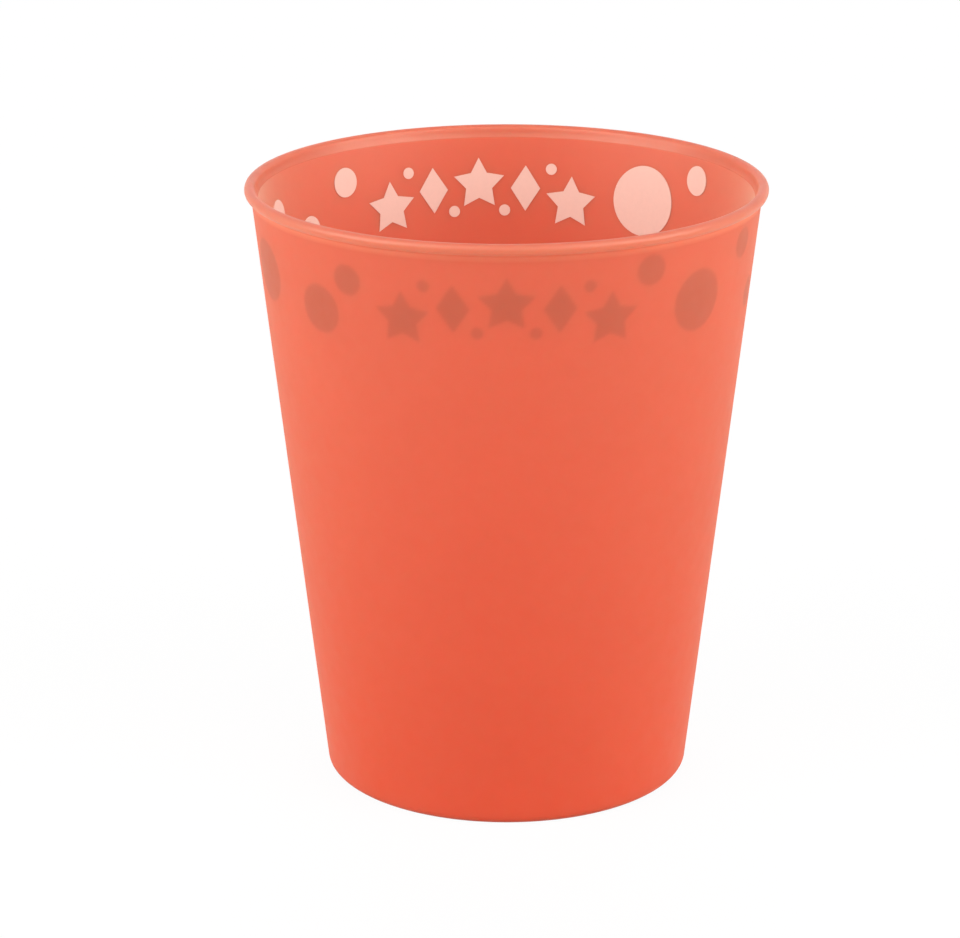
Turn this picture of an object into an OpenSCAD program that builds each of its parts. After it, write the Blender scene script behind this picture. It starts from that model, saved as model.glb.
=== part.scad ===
// Reusable plastic cup, moulded in one piece, with confetti printed on the inside of its wall.
// Sizes are in millimetres and angles in degrees. +Z is up. The origin is on the cup's axis, at the plane
// that the foot stands on, and the front of the cup faces -Y.

/* [Cup] */
// Outside diameter of the drinking lip
rim_d = 80; // [70:0.5:100]
// Height of the cup
cup_h = 94.5; // [70:0.5:140]
// Outside diameter at the foot, before its edge is rounded
base_d = 56.8; // [44:0.2:66]
// Thickness of the side wall
wall_t = 1.1; // [0.8:0.05:1.6]
// Thickness of the floor
floor_t = 1.4; // [1:0.1:2.5]
// Radius inside, where the floor meets the wall
corner_r = 3; // [1.5:0.25:6]

/* [Lip] */
// Height of the lip's rounded bead
lip_h = 1.7; // [1.4:0.1:2]
// How far the bead stands out from the wall
lip_out = 1; // [0.7:0.05:1.2]
// Height of the flare on the inside of the lip
flare_h = 1.75; // [1.6:0.05:3]
// Radius of the fillet under the bead
lip_fillet_r = 0.45; // [0.2:0.05:0.6]

/* [Foot] */
// Radius of the foot's outer edge
foot_r = 1.4; // [0.8:0.1:2]
// Width of the flat ring that the cup stands on
foot_flat = 0.7; // [0.5:0.1:2]
// Height of the recess under the floor
recess_h = 1.5; // [0.8:0.1:3]
// Radius inside the recess, where its wall meets the floor
recess_r = 0.6; // [0.3:0.1:0.8]
// Draft of the recess wall
recess_draft = 8; // [2:1:20]
// Diameter of the gate mark under the floor
gate_d = 3; // [2:0.5:6]
// Height of the gate mark
gate_h = 0.4; // [0.2:0.1:0.6]

/* [Print] */
// Thickness of the ink
ink_t = 0.1; // [0.1:0.01:0.2]
// Height of the band, from the lip down, that the dots are scattered over
band_h = 20; // [18:0.5:24]
// Diameter of the small dots
small_dot_d = 4.7; // [3:0.1:6]
// Diameter of the medium dots
medium_dot_d = 7.4; // [6:0.1:9]
// Diameter of the large dots
large_dot_d = 9.5; // [8:0.1:11]
// Diameter of the largest dots
largest_dot_d = 11.3; // [9:0.1:12]
// Height of the stars from point to point
star_d = 8.6; // [6:0.1:9]
// Width of the diamonds
diamond_w = 4.8; // [3:0.1:6]
// Height of the diamonds
diamond_h = 7.4; // [5:0.1:9]
// Diameter of the specks beside the stars
speck_d = 1.8; // [1:0.1:2]
// Distance from the lip down to the middle star
row_drop = 9.4; // [8:0.1:12]
// Angle from each star to the diamond beside it
row_step = 11.8; // [11:0.1:13]
// How far the ends of a row of stars hang below its middle
row_sag = 2.8; // [0:0.1:4]

/* [Hidden] */
$fn = 96;

// The side wall is a straight cone from the foot to the lip
rim_r = rim_d / 2;
base_r = base_d / 2;
neck_z = cup_h - lip_h;
draft = atan((rim_r - lip_out - base_r) / neck_z);
floor_z = recess_h + floor_t;
function outer_r(z) = base_r + z * tan(draft);
function inner_r(z) = outer_r(z) - wall_t / cos(draft);
// Unit vector square to the wall, pointing away from the axis
wall_out = [cos(draft), -sin(draft)];
// Unit vector along the wall, pointing up
wall_up = [sin(draft), cos(draft)];

// Foot: an edge of radius foot_r that is tangent to the table and to the wall
foot_c = [base_r + foot_r * tan(draft) - foot_r / cos(draft), foot_r];
foot_in_r = foot_c.x - foot_flat;
recess_top_r = foot_in_r - recess_h * tan(recess_draft);
foot_on_wall = foot_c + foot_r * wall_out;
recess_z = recess_h - recess_r;
recess_c = [
    foot_in_r - recess_z * tan(recess_draft) - recess_r / cos(recess_draft),
    recess_z
];
recess_on_wall = recess_c + recess_r * [cos(recess_draft), sin(recess_draft)];

// Inside corner between the floor and the wall
corner_z = floor_z + corner_r;
corner_c = [inner_r(corner_z) - corner_r / cos(draft), corner_z];
corner_on_wall = corner_c + corner_r * wall_out;
// Steps from a corner into the middle of the wall and of the floor
into_wall = [wall_t / 2, 0];
into_floor = [0, floor_t / 2];

// Lip: a round bead, with a flare inside that is tangent to it
lip_r = lip_h / 2;
lip_c = [rim_r - lip_r, cup_h - lip_r];
flare_z = cup_h - flare_h;
flare_foot = [inner_r(flare_z), flare_z];
flare_to_c = lip_c - flare_foot;
flare_angle = atan2(flare_to_c.y, flare_to_c.x) + asin(lip_r / norm(flare_to_c));
flare_len = sqrt(pow(norm(flare_to_c), 2) - pow(lip_r, 2));
flare_top = flare_foot + flare_len * [cos(flare_angle), sin(flare_angle)];

// Fillet under the bead, tangent to the bead and to the wall
bead_from_wall = (lip_c - [base_r, 0]) * wall_out;
bead_along_wall = (lip_c - [base_r, 0]) * wall_up;
fillet_below_bead = sqrt(pow(lip_r + lip_fillet_r, 2) - pow(bead_from_wall - lip_fillet_r, 2));
fillet_c = [base_r, 0] + lip_fillet_r * wall_out + (bead_along_wall - fillet_below_bead) * wall_up;
fillet_on_wall = fillet_c - lip_fillet_r * wall_out;
fillet_on_bead = fillet_c + (lip_c - fillet_c) * lip_fillet_r / (lip_r + lip_fillet_r);
wall_beside_bead = lip_c - bead_from_wall * wall_out;

// Print: the ink lies on the inner face of the wall, somewhere between the corner and the flare
ink_across = ink_t / cos(draft);
// How far inside the wall a shape starts before it is cut to the ink's thickness
reach = 4;
// Each dot's angle around the cup from its front, how far down the band it is, and its diameter
dots = [
    [-70.2, 0.533, large_dot_d],
    [-46.5, 0.654, medium_dot_d],
    [-37.3, 0.378, small_dot_d],
    [33, 0.278, small_dot_d],
    [48, 0.597, large_dot_d],
    [65.8, 0.283, small_dot_d],
    [76.5, 0.755, small_dot_d],
    [103, 0.72, medium_dot_d],
    [126, 0.27, small_dot_d],
    [143, 0.525, largest_dot_d],
    [224, 0.34, small_dot_d],
    [238, 0.645, small_dot_d],
    [253.5, 0.405, small_dot_d],
    [269, 0.7, medium_dot_d]
];
// Angles at which the middle of each row of stars stands, front and back
row_angles = [0, 187];
// How far the specks stand from the middle star, in steps of row_step
upper_speck_step = 1.55;
lower_speck_step = 0.55;
// Width of a star at its inner corners, as a share of its height
star_waist = 0.52;

// The part of a circle that rounds a convex corner. It lies about c, between the points a and b,
// and tip is the sharp corner.
module rounded_corner(c, r, a, tip, b) {
    intersection() {
        polygon([c, a, tip, b]);
        translate(c)
            circle(r);
    }
}

// The material that fills a concave corner as far as a circle about c
module filled_corner(c, r, points) {
    difference() {
        polygon(points);
        translate(c)
            circle(r);
    }
}

// Half of the cup's section, with x as the distance from the axis and y as the height
module cup_section() {
    polygon([
        [0, recess_h],
        [recess_top_r, recess_h],
        [foot_in_r, 0],
        [foot_c.x, 0],
        foot_on_wall,
        wall_beside_bead,
        lip_c,
        flare_top,
        flare_foot,
        [inner_r(floor_z), floor_z],
        [0, floor_z]
    ]);
    rounded_corner(foot_c, foot_r, [foot_c.x, 0], [base_r, 0], foot_on_wall);
    filled_corner(recess_c, recess_r, [
        recess_on_wall,
        recess_on_wall + into_wall,
        [recess_top_r, recess_h] + into_wall + into_floor,
        [recess_c.x, recess_h] + into_floor,
        [recess_c.x, recess_h]
    ]);
    filled_corner(corner_c, corner_r, [
        corner_on_wall,
        corner_on_wall + into_wall,
        [inner_r(floor_z), floor_z] + into_wall - into_floor,
        [corner_c.x, floor_z] - into_floor,
        [corner_c.x, floor_z]
    ]);
    filled_corner(fillet_c, lip_fillet_r, [
        fillet_on_wall,
        fillet_on_bead,
        lip_c,
        wall_beside_bead - into_wall,
        fillet_on_wall - into_wall
    ]);
    translate(lip_c)
        circle(lip_r);
}

module cup() {
    color("#E86048") {
        rotate_extrude()
            cup_section();
        translate([0, 0, recess_h - gate_h])
            cylinder(d = gate_d, h = gate_h + floor_t / 2);
    }
}

// Places a flat shape on the wall at an angle from the front and a distance below the lip.
// The shape is drawn as seen from outside, and runs from inside the wall out through the ink.
module on_wall(angle, drop) {
    rotate([0, 0, angle])
        translate([0, 0, cup_h - drop])
            rotate([90, 0, 0])
                translate([0, 0, inner_r(cup_h - drop) - reach])
                    linear_extrude(height = 2 * reach)
                        children();
}

module star() {
    polygon([
        for (i = [0:9])
            let (r = (i % 2 == 0 ? 1 : star_waist) * star_d / 2)
            [r * sin(36 * i), r * cos(36 * i)]
    ]);
}

module diamond() {
    polygon([[diamond_w / 2, 0], [0, diamond_h / 2], [-diamond_w / 2, 0], [0, -diamond_h / 2]]);
}

// A shallow arch of three stars with two diamonds between them, and a speck beside each diamond
module star_row(angle) {
    for (i = [-2:2])
        on_wall(angle + i * row_step, row_drop + row_sag * pow(i / 2, 2))
            if (i % 2 == 0) star();
            else diamond();
    for (side = [-1, 1]) {
        on_wall(angle + side * upper_speck_step * row_step, row_drop - star_d / 2 + speck_d)
            circle(d = speck_d);
        on_wall(angle + side * lower_speck_step * row_step, row_drop + star_d / 2)
            circle(d = speck_d);
    }
}

// Thin layer that lies on the inner face of the wall
module ink_layer() {
    rotate_extrude()
        polygon([
            [inner_r(corner_z), corner_z],
            [inner_r(flare_z), flare_z],
            [inner_r(flare_z) - ink_across, flare_z],
            [inner_r(corner_z) - ink_across, corner_z]
        ]);
}

module printed_confetti() {
    color("#F9C4B5")
        intersection() {
            ink_layer();
            union() {
                for (dot = dots)
                    on_wall(dot[0], dot[1] * band_h)
                        circle(d = dot[2]);
                for (angle = row_angles)
                    star_row(angle);
            }
        }
}

cup();
printed_confetti();
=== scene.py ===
import math

import bpy
import numpy as np
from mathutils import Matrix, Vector
from mathutils.bvhtree import BVHTree


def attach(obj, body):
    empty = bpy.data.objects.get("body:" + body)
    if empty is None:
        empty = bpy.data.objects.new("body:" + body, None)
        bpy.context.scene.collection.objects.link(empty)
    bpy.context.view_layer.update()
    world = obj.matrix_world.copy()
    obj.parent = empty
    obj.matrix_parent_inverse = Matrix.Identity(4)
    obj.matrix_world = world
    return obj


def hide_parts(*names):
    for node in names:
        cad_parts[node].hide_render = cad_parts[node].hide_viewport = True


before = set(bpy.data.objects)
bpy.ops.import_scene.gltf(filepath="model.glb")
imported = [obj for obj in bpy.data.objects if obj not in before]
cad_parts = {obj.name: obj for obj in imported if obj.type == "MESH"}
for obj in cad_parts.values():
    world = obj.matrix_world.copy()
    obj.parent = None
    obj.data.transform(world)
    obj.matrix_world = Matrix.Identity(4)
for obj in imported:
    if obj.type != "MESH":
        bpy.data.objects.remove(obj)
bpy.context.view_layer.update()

# The photograph's frame in pixels, and where the cup's axis lies in it
PHOTO_WIDTH = 960
AXIS_RIGHT_OF_MIDDLE = 26.6
# The camera that fits the cup's outline in that frame: its focal length in pixels, its place in metres
# and its pitch in radians
FOCAL_PIXELS = 3563.7
CAMERA_BACK = 0.53095
CAMERA_HEIGHT = 0.22113
CAMERA_PITCH = 0.3150
SENSOR_WIDTH = 36.0
CLIP_START = 0.01
CLIP_END = 20

# Sizes of the cup in metres, as in the construction
RIM_R = 0.040
CUP_H = 0.0945
BASE_R = 0.0284
WALL_T = 0.0011
FLOOR_T = 0.0014
CORNER_R = 0.003
LIP_H = 0.0017
LIP_OUT = 0.001
FLARE_H = 0.00175
LIP_FILLET_R = 0.00045
FOOT_R = 0.0014
FOOT_FLAT = 0.0007
RECESS_H = 0.0015
RECESS_R = 0.0006
RECESS_DRAFT = math.radians(8)
GATE_R = 0.0015
GATE_H = 0.0004

# Radius of the small edges under the floor
EDGE_R = 0.00015

# The inside of the lip: where its bead ends and a shallow groove runs in, how steep the groove's lower
# end is, and the rounded edge that leads from it into the wall. An angle says how far the surface there
# looks up from the level line to the axis.
BEAD_END = math.radians(12)
GROOVE_END = math.radians(29)
GROOVE_EDGE_R = 0.00035

# How finely the cup is divided: columns around it, and rows along each part of its section, from the
# gate mark out to the foot, up the wall, over the lip and down inside
COLUMNS = 720
GATE_ROWS = 2
UNDER_ROWS = 2
RECESS_ROWS = 4
FOOT_ROWS = 8
PLAIN_ROWS = 5
BAND_ROWS = 48
FILLET_ROWS = 4
BEAD_ROWS = 18
GROOVE_ROWS = 4
INSIDE_ROWS = 8
CORNER_ROWS = 6
FLOOR_ROWS = 3
# How far from its ends a straight stretch has its first and last ring, so that its shading stays flat
SUPPORT = 0.0002

# The band of the wall outside that the print shows through
BAND_TOP = 0.0918
BAND_BOTTOM = 0.0740

# The print's shadow in the wall: samples across each column and row, how far in from the outside the ink
# is looked for, how far the shadow's edge is spread (its standard deviation and its most), and how dark
# the shadow is
FINER = 3
INK_WITHIN = 2 * WALL_T
SHADOW_SPREAD = 0.00017
SHADOW_REACH = 3 * SHADOW_SPREAD
SHADOW_DEPTH = 0.155

# Colours, in linear light: the outside of the wall low down and high up, the inside, and the ink. The
# outside is darker and deeper low down as painted shade, for the lower wall that gets less light.
OUTER_LOW_PAINTED_SHADE = (0.718, 0.068, 0.016)
OUTER_HIGH = (0.668, 0.125, 0.061)
INNER = (0.665, 0.095, 0.029)
# The ink's pink tint is painted light: the coral glow of the plastic through and around the white ink
INK = (0.900, 0.600, 0.500)
# Tones of the lip, from the fillet under its bead over the crest to the groove inside, with each one's
# place across it. They paint light and shade over the bead: the pale fillet and underside are painted light
# that lifts the shade under the bead, the darker crest is painted shade that holds down its lit top, and
# the groove is raised as painted sheen to meet the inside.
LIP_TONES_PAINTED_LIGHT = (
    (0.00, (0.800, 0.225, 0.118)),
    (0.40, (0.570, 0.125, 0.058)),
    (0.65, (0.470, 0.070, 0.028)),
    (1.00, (0.590, 0.112, 0.043)),
)

# Roughness and sheen of the wall outside, of the lip, which is smoother, and of the inside
OUTSIDE_GLOSS = (0.70, 0.06)
LIP_GLOSS = (0.45, 0.08)
INSIDE_GLOSS = (0.55, 0.62)
# How far the roughness goes down and up from its middle
ROUGHNESS_SPREAD = 0.03
# The shader's values that are the same all over the plastic
PLASTIC = {
    "IOR": 1.49,
    "Specular IOR Level": 0.85,
    "Specular Tint": (1.0, 0.9, 0.75, 1),
    "Subsurface Weight": 1.0,
    "Subsurface Radius": (1.0, 0.5, 0.35),
    "Subsurface Scale": 0.003,
    "Sheen Roughness": 0.6,
    "Sheen Tint": (1.0, 0.97, 0.75, 1),
}
INK_ROUGHNESS = 0.62

# Noise in the surfaces: scale and detail. The clouds are in the plastic's colour, the spark texture and
# the slower ripple in its surface, and the speckle in both of the ink's.
CLOUDS = (55.0, 3.0)
SPARKS = (3200.0, 2.0)
RIPPLE = (420.0, 1.0)
SPECKLE = (1500.0, 3.0)
# The range that most of the noise lies in, and the levels that it brings the colours to
NOISE_RANGE = (0.3, 0.7)
CLOUD_LEVELS = (0.985, 1.015)
SPECKLE_LEVELS = (0.985, 1.01)
# Strength and height of the bumps
SPARK_BUMPS = (0.25, 0.00002)
RIPPLE_BUMPS = (0.2, 0.00003)
SPECKLE_BUMPS = (0.2, 0.00001)

# Soft lamps, all squares of the same size that face the cup from the same distance: azimuth from the
# front, elevation, and brightness
LAMP_SIZE = 1.8
LAMP_DISTANCE = 2.6
LAMPS = {
    "left": (-75, 20, 2.75),
    "right": (75, 20, 2.75),
    "front_left": (-60, 22, 1.5),
    "front_right": (60, 22, 1.5),
    "high_left": (-40, 45, 2.3),
    "high_right": (40, 45, 2.3),
    "back": (180, 52, 3.0),
}
# Light from all around: what it gives, and what is seen of it
SURROUNDINGS = 0.22
SURROUNDINGS_SEEN = 1.0

# Floor: half its width, how much light it sends back, how much of what the camera sees of it is plain
# white, and how bright that white is
FLOOR_HALF = 6
FLOOR = 0.55
FLOOR_WHITE = 0.92
FLOOR_BRIGHTNESS = 1.03


def look_at_photo():
    """The camera of the photograph: on the cup's middle plane, looking along +Y and down."""
    data = bpy.data.cameras.new("camera")
    data.sensor_width = SENSOR_WIDTH
    data.lens = FOCAL_PIXELS * SENSOR_WIDTH / PHOTO_WIDTH
    data.shift_x = -AXIS_RIGHT_OF_MIDDLE / PHOTO_WIDTH
    data.clip_start = CLIP_START
    data.clip_end = CLIP_END
    camera = bpy.data.objects.new("camera", data)
    camera.location = (0, -CAMERA_BACK, CAMERA_HEIGHT)
    camera.rotation_euler = (math.pi / 2 - CAMERA_PITCH, 0, 0)
    bpy.context.scene.collection.objects.link(camera)
    bpy.context.scene.camera = camera


def arc(centre, radius, start, end, rows):
    """Points on a circle from one angle to another, both included."""
    return [
        centre + radius * Vector((math.cos(angle), math.sin(angle)))
        for angle in np.linspace(start, end, rows + 1)
    ]


def stretch(start, end, rows):
    """Points inside a straight stretch, with one close to each end so that the shading turns there."""
    step_in = (end - start).normalized() * SUPPORT
    return [(start + step_in).lerp(end - step_in, i / rows) for i in range(rows + 1)]


def cup_section():
    """The section of the cup as points (distance from the axis, height), from the gate mark under the
    floor out to the foot, up the wall, over the lip, and down inside to the middle of the floor.
    The second list names the part of the cup that each point belongs to."""
    tan_draft = (RIM_R - LIP_OUT - BASE_R) / (CUP_H - LIP_H)
    draft = math.atan(tan_draft)
    wall_out = Vector((math.cos(draft), -math.sin(draft)))
    wall_up = Vector((math.sin(draft), math.cos(draft)))
    quarter = math.pi / 2
    floor_z = RECESS_H + FLOOR_T

    def outer(z):
        return Vector((BASE_R + z * tan_draft, z))

    def inner(z):
        return outer(z) - Vector((WALL_T / math.cos(draft), 0))

    # Underside, from the gate mark to the foot
    gate_z = RECESS_H - GATE_H
    gate_foot = Vector((GATE_R, RECESS_H))
    foot_c = Vector((BASE_R + FOOT_R * tan_draft - FOOT_R / math.cos(draft), FOOT_R))
    foot_in = foot_c.x - FOOT_FLAT
    recess_z = RECESS_H - RECESS_R
    recess_in = recess_z * math.tan(RECESS_DRAFT) + RECESS_R / math.cos(RECESS_DRAFT)
    recess_c = Vector((foot_in - recess_in, recess_z))
    under = [Vector((0, gate_z)), Vector((GATE_R - EDGE_R - SUPPORT, gate_z))]
    under += arc(Vector((GATE_R - EDGE_R, gate_z + EDGE_R)), EDGE_R, -quarter, 0, GATE_ROWS)
    under += [gate_foot] + stretch(gate_foot, Vector((recess_c.x, RECESS_H)), UNDER_ROWS)
    under += arc(recess_c, RECESS_R, quarter, RECESS_DRAFT, RECESS_ROWS)
    under += [Vector((foot_in, EDGE_R)), Vector((foot_in + EDGE_R, 0))]
    foot = arc(foot_c, FOOT_R, -quarter, -draft, FOOT_ROWS)

    # Outside of the wall: plain below, and finer where the print shows through
    plain = stretch(foot_c + FOOT_R * wall_out, outer(BAND_BOTTOM), PLAIN_ROWS)
    band = stretch(outer(BAND_BOTTOM), outer(BAND_TOP), BAND_ROWS)

    # Lip: the fillet under the bead, and the bead
    lip_r = LIP_H / 2
    lip_c = Vector((RIM_R - lip_r, CUP_H - lip_r))
    from_foot = lip_c - Vector((BASE_R, 0))
    beside, along = from_foot.dot(wall_out), from_foot.dot(wall_up)
    below = math.sqrt((lip_r + LIP_FILLET_R) ** 2 - (beside - LIP_FILLET_R) ** 2)
    fillet_c = outer(0) + LIP_FILLET_R * wall_out + (along - below) * wall_up
    to_bead = math.atan2(lip_c.y - fillet_c.y, lip_c.x - fillet_c.x)
    fillet = arc(fillet_c, LIP_FILLET_R, math.pi - draft, to_bead, FILLET_ROWS)
    bead = arc(lip_c, lip_r, to_bead - math.pi, math.pi - BEAD_END, BEAD_ROWS)[1:]

    # Groove inside the lip: its radius is what brings the rounded edge below it onto the wall
    def normal(angle):
        return Vector((-math.cos(angle), math.sin(angle)))

    flare_foot = inner(CUP_H - FLARE_H)
    drop = (bead[-1] - flare_foot).dot(normal(draft))
    turn_in = 1 - math.cos(GROOVE_END - draft)
    turn_on = math.cos(BEAD_END - draft) - math.cos(GROOVE_END - draft)
    groove_r = (-drop - GROOVE_EDGE_R * turn_in) / turn_on
    groove_c = bead[-1] + groove_r * normal(BEAD_END)
    groove = arc(groove_c, groove_r, -BEAD_END, -GROOVE_END, GROOVE_ROWS)[1:]
    edge_c = groove[-1] - GROOVE_EDGE_R * normal(GROOVE_END)
    groove += arc(edge_c, GROOVE_EDGE_R, math.pi - GROOVE_END, math.pi - draft, GROOVE_ROWS)[1:]

    # Inside: the wall, the corner and the floor
    corner_z = floor_z + CORNER_R
    corner_c = inner(corner_z) - Vector((CORNER_R / math.cos(draft), 0))
    inside = stretch(groove[-1], corner_c + CORNER_R * wall_out, INSIDE_ROWS)
    inside += arc(corner_c, CORNER_R, -draft, -quarter, CORNER_ROWS)
    inside += stretch(Vector((corner_c.x, floor_z)), Vector((0, floor_z)), FLOOR_ROWS)
    inside += [Vector((0, floor_z))]

    section = {
        "under": under,
        "foot": foot,
        "plain": plain,
        "band": band,
        "fillet": fillet,
        "bead": bead,
        "groove": groove,
        "inside": inside,
    }
    points, parts = [], []
    for part, own_points in section.items():
        points += own_points
        parts += [part] * len(own_points)
    return points, parts


def revolve(name, section):
    """A closed mesh made by turning a section about Z. Its first and last points lie on the axis."""
    angles = np.arange(COLUMNS) * 2 * math.pi / COLUMNS
    rings = section[1:-1]
    places = [(at.x * math.cos(angle), at.x * math.sin(angle), at.y) for at in rings for angle in angles]
    bottom, top = len(places), len(places) + 1
    places += [(0, 0, section[0].y), (0, 0, section[-1].y)]
    after = [(i + 1) % COLUMNS for i in range(COLUMNS)]
    faces = [(bottom, after[i], i) for i in range(COLUMNS)]
    for row in range(len(rings) - 1):
        low, high = row * COLUMNS, (row + 1) * COLUMNS
        faces += [(low + i, low + after[i], high + after[i], high + i) for i in range(COLUMNS)]
    last = (len(rings) - 1) * COLUMNS
    faces += [(top, last + i, last + after[i]) for i in range(COLUMNS)]
    mesh = bpy.data.meshes.new(name)
    mesh.from_pydata(places, [], faces)
    mesh.validate()
    mesh.shade_smooth()
    piece = bpy.data.objects.new(name, mesh)
    bpy.context.scene.collection.objects.link(piece)
    return piece


def ink_behind(low, high, rows):
    """How much ink lies behind each point of the band, from 0 to 1, as rows by columns. The ink is looked
    for on a finer grid, on which its edge is then spread."""
    ink = BVHTree.FromObject(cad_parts["printed_confetti"], bpy.context.evaluated_depsgraph_get())
    fine_rows = (rows - 1) * FINER + 1
    fine_columns = COLUMNS * FINER
    angles = np.arange(fine_columns) * 2 * math.pi / fine_columns
    hits = np.zeros((fine_rows, fine_columns))
    for row in range(fine_rows):
        at = low.lerp(high, row / (fine_rows - 1))
        for column, angle in enumerate(angles):
            inward = Vector((-math.cos(angle), -math.sin(angle), 0))
            origin = Vector((at.x * math.cos(angle), at.x * math.sin(angle), at.y))
            hits[row, column] = ink.ray_cast(origin, inward, INK_WITHIN)[0] is not None
    row_size = (high - low).length / (fine_rows - 1)
    column_size = 2 * math.pi * high.x / fine_columns
    for axis, size in ((0, row_size), (1, column_size)):
        reach = math.ceil(SHADOW_REACH / size)
        steps = np.arange(-reach, reach + 1)
        weights = np.exp(-0.5 * (steps * size / SHADOW_SPREAD) ** 2)
        weights /= weights.sum()
        hits = sum(weight * np.roll(hits, step, axis) for step, weight in zip(steps, weights))
    return hits[::FINER, ::FINER]


def store(piece, name, rows):
    """Keeps a value for each vertex of a revolved piece. rows has a number or a row of numbers for each
    ring, and the two middle points take those of the rings beside them."""
    rings = [np.broadcast_to(row, COLUMNS) for row in rows]
    values = np.concatenate(rings + [rings[0][:1], rings[-1][:1]]).astype(np.float32)
    piece.data.attributes.new(name, "FLOAT", "POINT").data.foreach_set("value", values)


def cup_moulding():
    """The cup as one fine revolved mesh, with one material outside, one on the lip and one inside. It keeps
    three values on its vertices: how much of the print's shadow lies in the wall, 1 on the lip's fillet and
    bead where the fillet's painted light goes, and the place across the lip."""
    points, parts = cup_section()
    piece = revolve("cup_moulding", points)
    band = [i for i, part in enumerate(parts) if part == "band"]
    bead = [i for i, part in enumerate(parts) if part == "bead"]
    shadow = [0.0] * len(parts)
    for i, row in zip(band, ink_behind(points[band[0]], points[band[-1]], len(band))):
        shadow[i] = row
    across = [float(part in ("groove", "inside")) for part in parts]
    for place, i in enumerate(bead):
        across[i] = place / (len(bead) - 1)
    store(piece, "ink_shadow", shadow[1:-1])
    store(piece, "fillet_painted_light", [float(part in ("fillet", "bead")) for part in parts][1:-1])
    store(piece, "across_lip", across[1:-1])
    for name, tone, gloss in (
        ("satin_outside", outside_tone, OUTSIDE_GLOSS),
        ("satin_lip", lip_tone, LIP_GLOSS),
        ("satin_inside", inside_tone, INSIDE_GLOSS),
    ):
        piece.data.materials.append(satin_plastic(name, tone, *gloss))

    # A material starts with the faces that lead up to the first ring of its part. The rings are counted
    # from the section's second point, because its first one lies on the axis.
    starts = [COLUMNS * (parts.index(part) - 2) for part in ("bead", "inside")]
    firsts = [min(face.vertices) for face in piece.data.polygons]
    slots = [sum(first >= start for start in starts) for first in firsts]
    piece.data.polygons.foreach_set("material_index", slots)
    return piece


class Nodes:
    """A small helper that adds and links the nodes of one material."""

    def __init__(self, name):
        self.material = bpy.data.materials.new(name)
        self.material.use_nodes = True
        self.tree = self.material.node_tree
        self.tree.nodes.clear()

    def add(self, kind, inputs=(), **settings):
        node = self.tree.nodes.new("ShaderNode" + kind)
        for key, value in settings.items():
            setattr(node, key, value)
        for key, value in dict(inputs).items():
            if isinstance(value, bpy.types.NodeSocket):
                self.tree.links.new(value, node.inputs[key])
            else:
                node.inputs[key].default_value = value
        return node

    def math(self, operation, a, b=0.0, clamp=False):
        return self.add("Math", {0: a, 1: b}, operation=operation, use_clamp=clamp).outputs[0]

    def mix(self, factor, a, b, blend="MIX"):
        # Inputs 6 and 7 and output 2 are the ones for colours
        node = self.add("Mix", {"Factor": factor, 6: a, 7: b}, data_type="RGBA", blend_type=blend)
        return node.outputs[2]

    def place(self):
        return self.add("TexCoord").outputs["Object"]

    def stored(self, name):
        return self.add("Attribute", attribute_name=name).outputs["Fac"]

    def noise(self, place, scale, detail):
        return self.add("TexNoise", {"Vector": place, "Scale": scale, "Detail": detail}).outputs["Fac"]

    def levels(self, noise, low, high):
        """Noise brought from its usual range to one from low to high."""
        start, end = NOISE_RANGE
        ranges = {"From Min": start, "From Max": end, "To Min": low, "To Max": high}
        return self.add("MapRange", {"Value": noise, **ranges}).outputs[0]

    def bumps(self, height, strength, distance, **over):
        inputs = {"Height": height, "Strength": strength, "Distance": distance, **over}
        return self.add("Bump", inputs).outputs[0]

    def ramp(self, value, tones):
        node = self.add("ValToRGB", {"Fac": value})
        stops = node.color_ramp.elements
        while len(stops) < len(tones):
            stops.new(0.5)
        for stop, (position, tone) in zip(stops, tones):
            stop.position = position
            stop.color = (*tone, 1)
        return node.outputs["Color"]

    def finish(self, shader):
        output = self.add("OutputMaterial", {"Surface": shader.outputs[0]})
        output.is_active_output = True
        return self.material


def outside_tone(nodes):
    """The tone outside: it changes with the height on the wall, darker and deeper low down as painted
    shade, turns to the lip's pale tone on the fillet as painted light under the bead, and is darker where
    the print's painted shadow lies behind it."""
    height = nodes.add("SeparateXYZ", {0: nodes.place()}).outputs["Z"]
    # Darker and deeper low down: painted shade on the lower wall
    up = nodes.math("DIVIDE", height, CUP_H, clamp=True)
    wall = nodes.mix(up, (*OUTER_LOW_PAINTED_SHADE, 1), (*OUTER_HIGH, 1))
    # The fillet takes the lip's pale first tone: painted light that lifts the shade in the crease under the
    # bead
    tone = nodes.mix(nodes.stored("fillet_painted_light"), wall, (*LIP_TONES_PAINTED_LIGHT[0][1], 1))
    shadow = nodes.math("MULTIPLY", nodes.stored("ink_shadow"), SHADOW_DEPTH)
    clear = nodes.math("SUBTRACT", 1.0, shadow)
    return nodes.mix(1.0, tone, clear, "MULTIPLY")


def lip_tone(nodes):
    """The tones across the lip's bead and the groove inside it, which paint light and shade over the bead.
    """
    return nodes.ramp(nodes.stored("across_lip"), LIP_TONES_PAINTED_LIGHT)


def inside_tone(nodes):
    """The tone inside, which is even and needs no nodes."""
    return (*INNER, 1)


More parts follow.
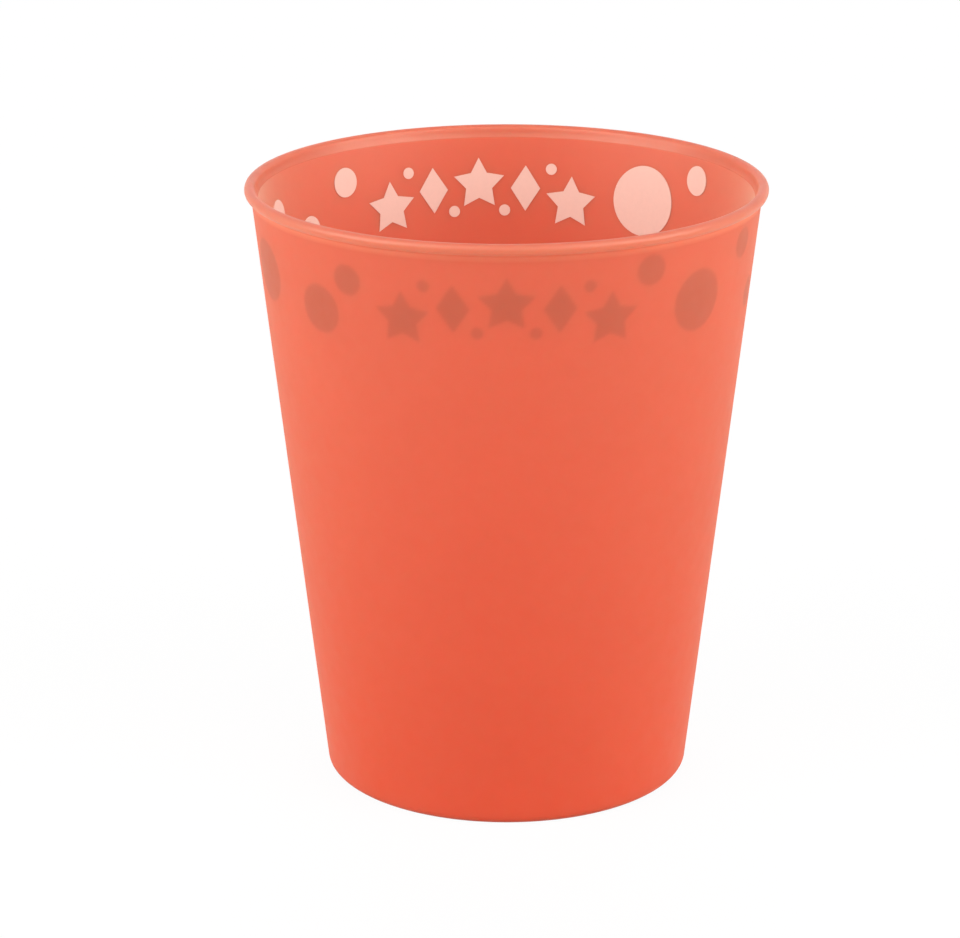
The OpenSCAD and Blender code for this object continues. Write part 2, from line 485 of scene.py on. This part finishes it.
def satin_plastic(name, tone, roughness, sheen):
    """Coral polypropylene with a fine satin moulded surface."""
    nodes = Nodes(name)
    place = nodes.place()

    # Faint clouds, as the melt has filled the mould
    clouds = nodes.levels(nodes.noise(place, *CLOUDS), *CLOUD_LEVELS)
    colour = nodes.mix(1.0, tone(nodes), clouds, "MULTIPLY")

    # Fine spark texture, and a slower ripple that also makes the gloss uneven
    ripple = nodes.noise(place, *RIPPLE)
    sparks = nodes.bumps(nodes.noise(place, *SPARKS), *SPARK_BUMPS)
    surface = nodes.bumps(ripple, *RIPPLE_BUMPS, Normal=sparks)
    uneven = nodes.levels(ripple, roughness - ROUGHNESS_SPREAD, roughness + ROUGHNESS_SPREAD)

    shader = nodes.add("BsdfPrincipled", {
        **PLASTIC,
        "Base Color": colour,
        "Roughness": uneven,
        "Sheen Weight": sheen,
        "Normal": surface,
    })
    return nodes.finish(shader)


def matt_ink():
    """White screen ink, painted pinkish for the coral light that the plastic sends through and onto it."""
    nodes = Nodes("matt_ink")
    speckle = nodes.noise(nodes.place(), *SPECKLE)
    colour = nodes.mix(1.0, (*INK, 1), nodes.levels(speckle, *SPECKLE_LEVELS), "MULTIPLY")
    shader = nodes.add("BsdfPrincipled", {
        "Base Color": colour,
        "Roughness": INK_ROUGHNESS,
        "Normal": nodes.bumps(speckle, *SPECKLE_BUMPS),
    })
    return nodes.finish(shader)


def seen_directly(tree):
    """A socket that is 1 for what the camera sees by itself, in a reflection or through something clear."""
    path = tree.nodes.new("ShaderNodeLightPath")
    total = path.outputs["Is Camera Ray"]
    for name in ("Is Glossy Ray", "Is Transmission Ray"):
        most = tree.nodes.new("ShaderNodeMath")
        most.operation = "MAXIMUM"
        tree.links.new(total, most.inputs[0])
        tree.links.new(path.outputs[name], most.inputs[1])
        total = most.outputs[0]
    return total


def surroundings():
    """Soft even light from all around, which looks white."""
    world = bpy.data.worlds.new("studio")
    bpy.context.scene.world = world
    world.use_nodes = True
    tree = world.node_tree
    # Inputs 2 and 3 of the node are the plain numbers that it mixes
    level = tree.nodes.new("ShaderNodeMix")
    level.inputs[2].default_value = SURROUNDINGS
    level.inputs[3].default_value = SURROUNDINGS_SEEN
    tree.links.new(seen_directly(tree), level.inputs["Factor"])
    background = tree.nodes["Background"]
    background.inputs["Color"].default_value = (1, 1, 1, 1)
    tree.links.new(level.outputs[0], background.inputs["Strength"])


def pale_floor():
    """A wide white floor that keeps a faint shadow of the cup."""
    mesh = bpy.data.meshes.new("floor")
    corners = [(x * FLOOR_HALF, y * FLOOR_HALF, 0) for x, y in ((-1, -1), (1, -1), (1, 1), (-1, 1))]
    mesh.from_pydata(corners, [], [(0, 1, 2, 3)])
    floor = bpy.data.objects.new("floor", mesh)
    bpy.context.scene.collection.objects.link(floor)
    nodes = Nodes("pale_floor")
    share = nodes.math("MULTIPLY", seen_directly(nodes.tree), FLOOR_WHITE)
    diffuse = nodes.add("BsdfDiffuse", {"Color": (FLOOR, FLOOR, FLOOR, 1)})
    white = nodes.add("Emission", {"Color": (1, 1, 1, 1), "Strength": FLOOR_BRIGHTNESS})
    shader = nodes.add("MixShader", {0: share, 1: diffuse.outputs[0], 2: white.outputs[0]})
    mesh.materials.append(nodes.finish(shader))


def soft_lamps():
    """Square lamps that the camera doesn't see. The one behind the cup isn't seen in its gloss either."""
    for name, (azimuth, elevation, brightness) in LAMPS.items():
        light = bpy.data.lights.new(name, "AREA")
        light.size = LAMP_SIZE
        light.energy = brightness * math.pi * LAMP_SIZE**2
        lamp = bpy.data.objects.new(name, light)
        around, up = math.radians(azimuth), math.radians(elevation)
        across = LAMP_DISTANCE * math.cos(up)
        height = LAMP_DISTANCE * math.sin(up)
        lamp.location = (across * math.sin(around), -across * math.cos(around), height)
        lamp.rotation_euler = (-lamp.location).to_track_quat("-Z", "Y").to_euler()
        lamp.visible_camera = False
        lamp.visible_glossy = name != "back"
        bpy.context.scene.collection.objects.link(lamp)


bpy.context.scene.view_settings.view_transform = "Standard"
look_at_photo()
cup = cup_moulding()
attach(cup, "root")
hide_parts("cup")
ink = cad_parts["printed_confetti"]
ink.data.materials.clear()
ink.data.materials.append(matt_ink())
surroundings()
pale_floor()
soft_lamps()
